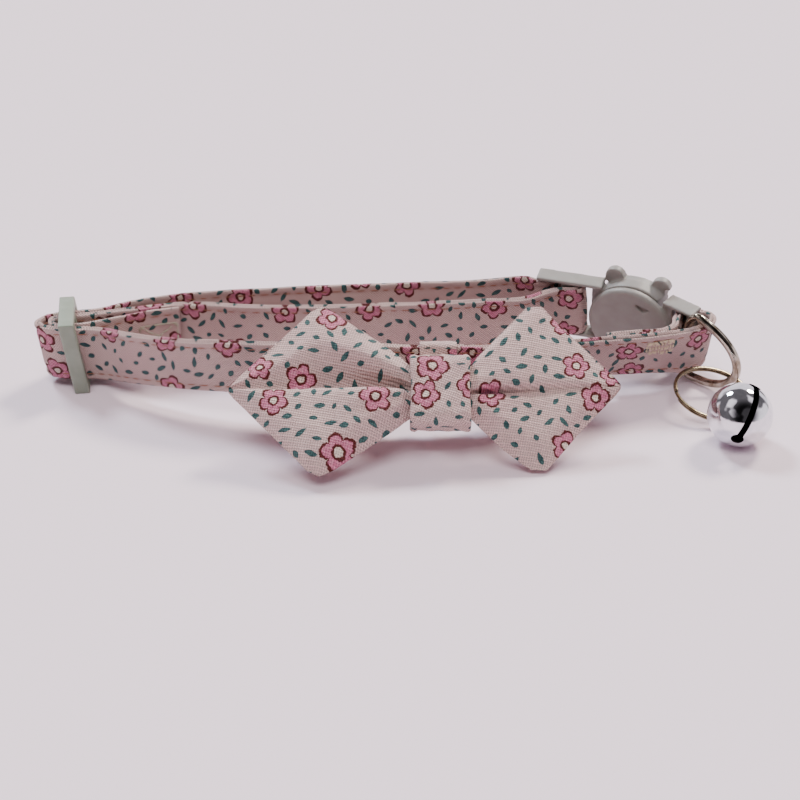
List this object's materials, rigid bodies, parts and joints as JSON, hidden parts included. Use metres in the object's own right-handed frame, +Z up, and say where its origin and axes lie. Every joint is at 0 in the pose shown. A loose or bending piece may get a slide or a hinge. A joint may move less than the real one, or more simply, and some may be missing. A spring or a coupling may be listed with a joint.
{
  "type": "pet bow tie collar",
  "caption": "Small padded fabric pet collar in a flattened loop, with a bow tie, side-release buckle, strap slider, D-ring and a round bell on a split ring.",
  "frame": {"origin": "bottom centre of the bounding box, on the surface the collar lies on", "axes": "+X along the flattened loop, towards the buckle and bell, +Z up, -Y out of the front of the bow"},
  "size_m": [0.1308, 0.056, 0.0211],
  "materials": {
    "strap_cotton": "woven cotton, small printed flowers and leaves on pale pink-beige, topstitched",
    "bow_cotton": "woven cotton, the same print, softly stuffed",
    "slider_plastic": "moulded, pale sage grey, low sheen",
    "buckle_plastic": "moulded, warm grey, low sheen",
    "ring_metal": "nickel-plated wire",
    "split_ring_metal": "dull plated flat spring wire",
    "bell_chrome": "bright polished plating"
  },
  "bodies": {
    "root": {"strap": "strap_cotton", "slider": "slider_plastic", "buckle_left_half": "buckle_plastic", "buckle_right_half": "buckle_plastic", "bow_body": "bow_cotton", "bow_band": "bow_cotton", "bow_loop": "bow_cotton", "d_ring": "ring_metal", "split_ring": "split_ring_metal", "bell": "bell_chrome", "bell_pellet": "ring_metal"}
  },
  "joints": []
}
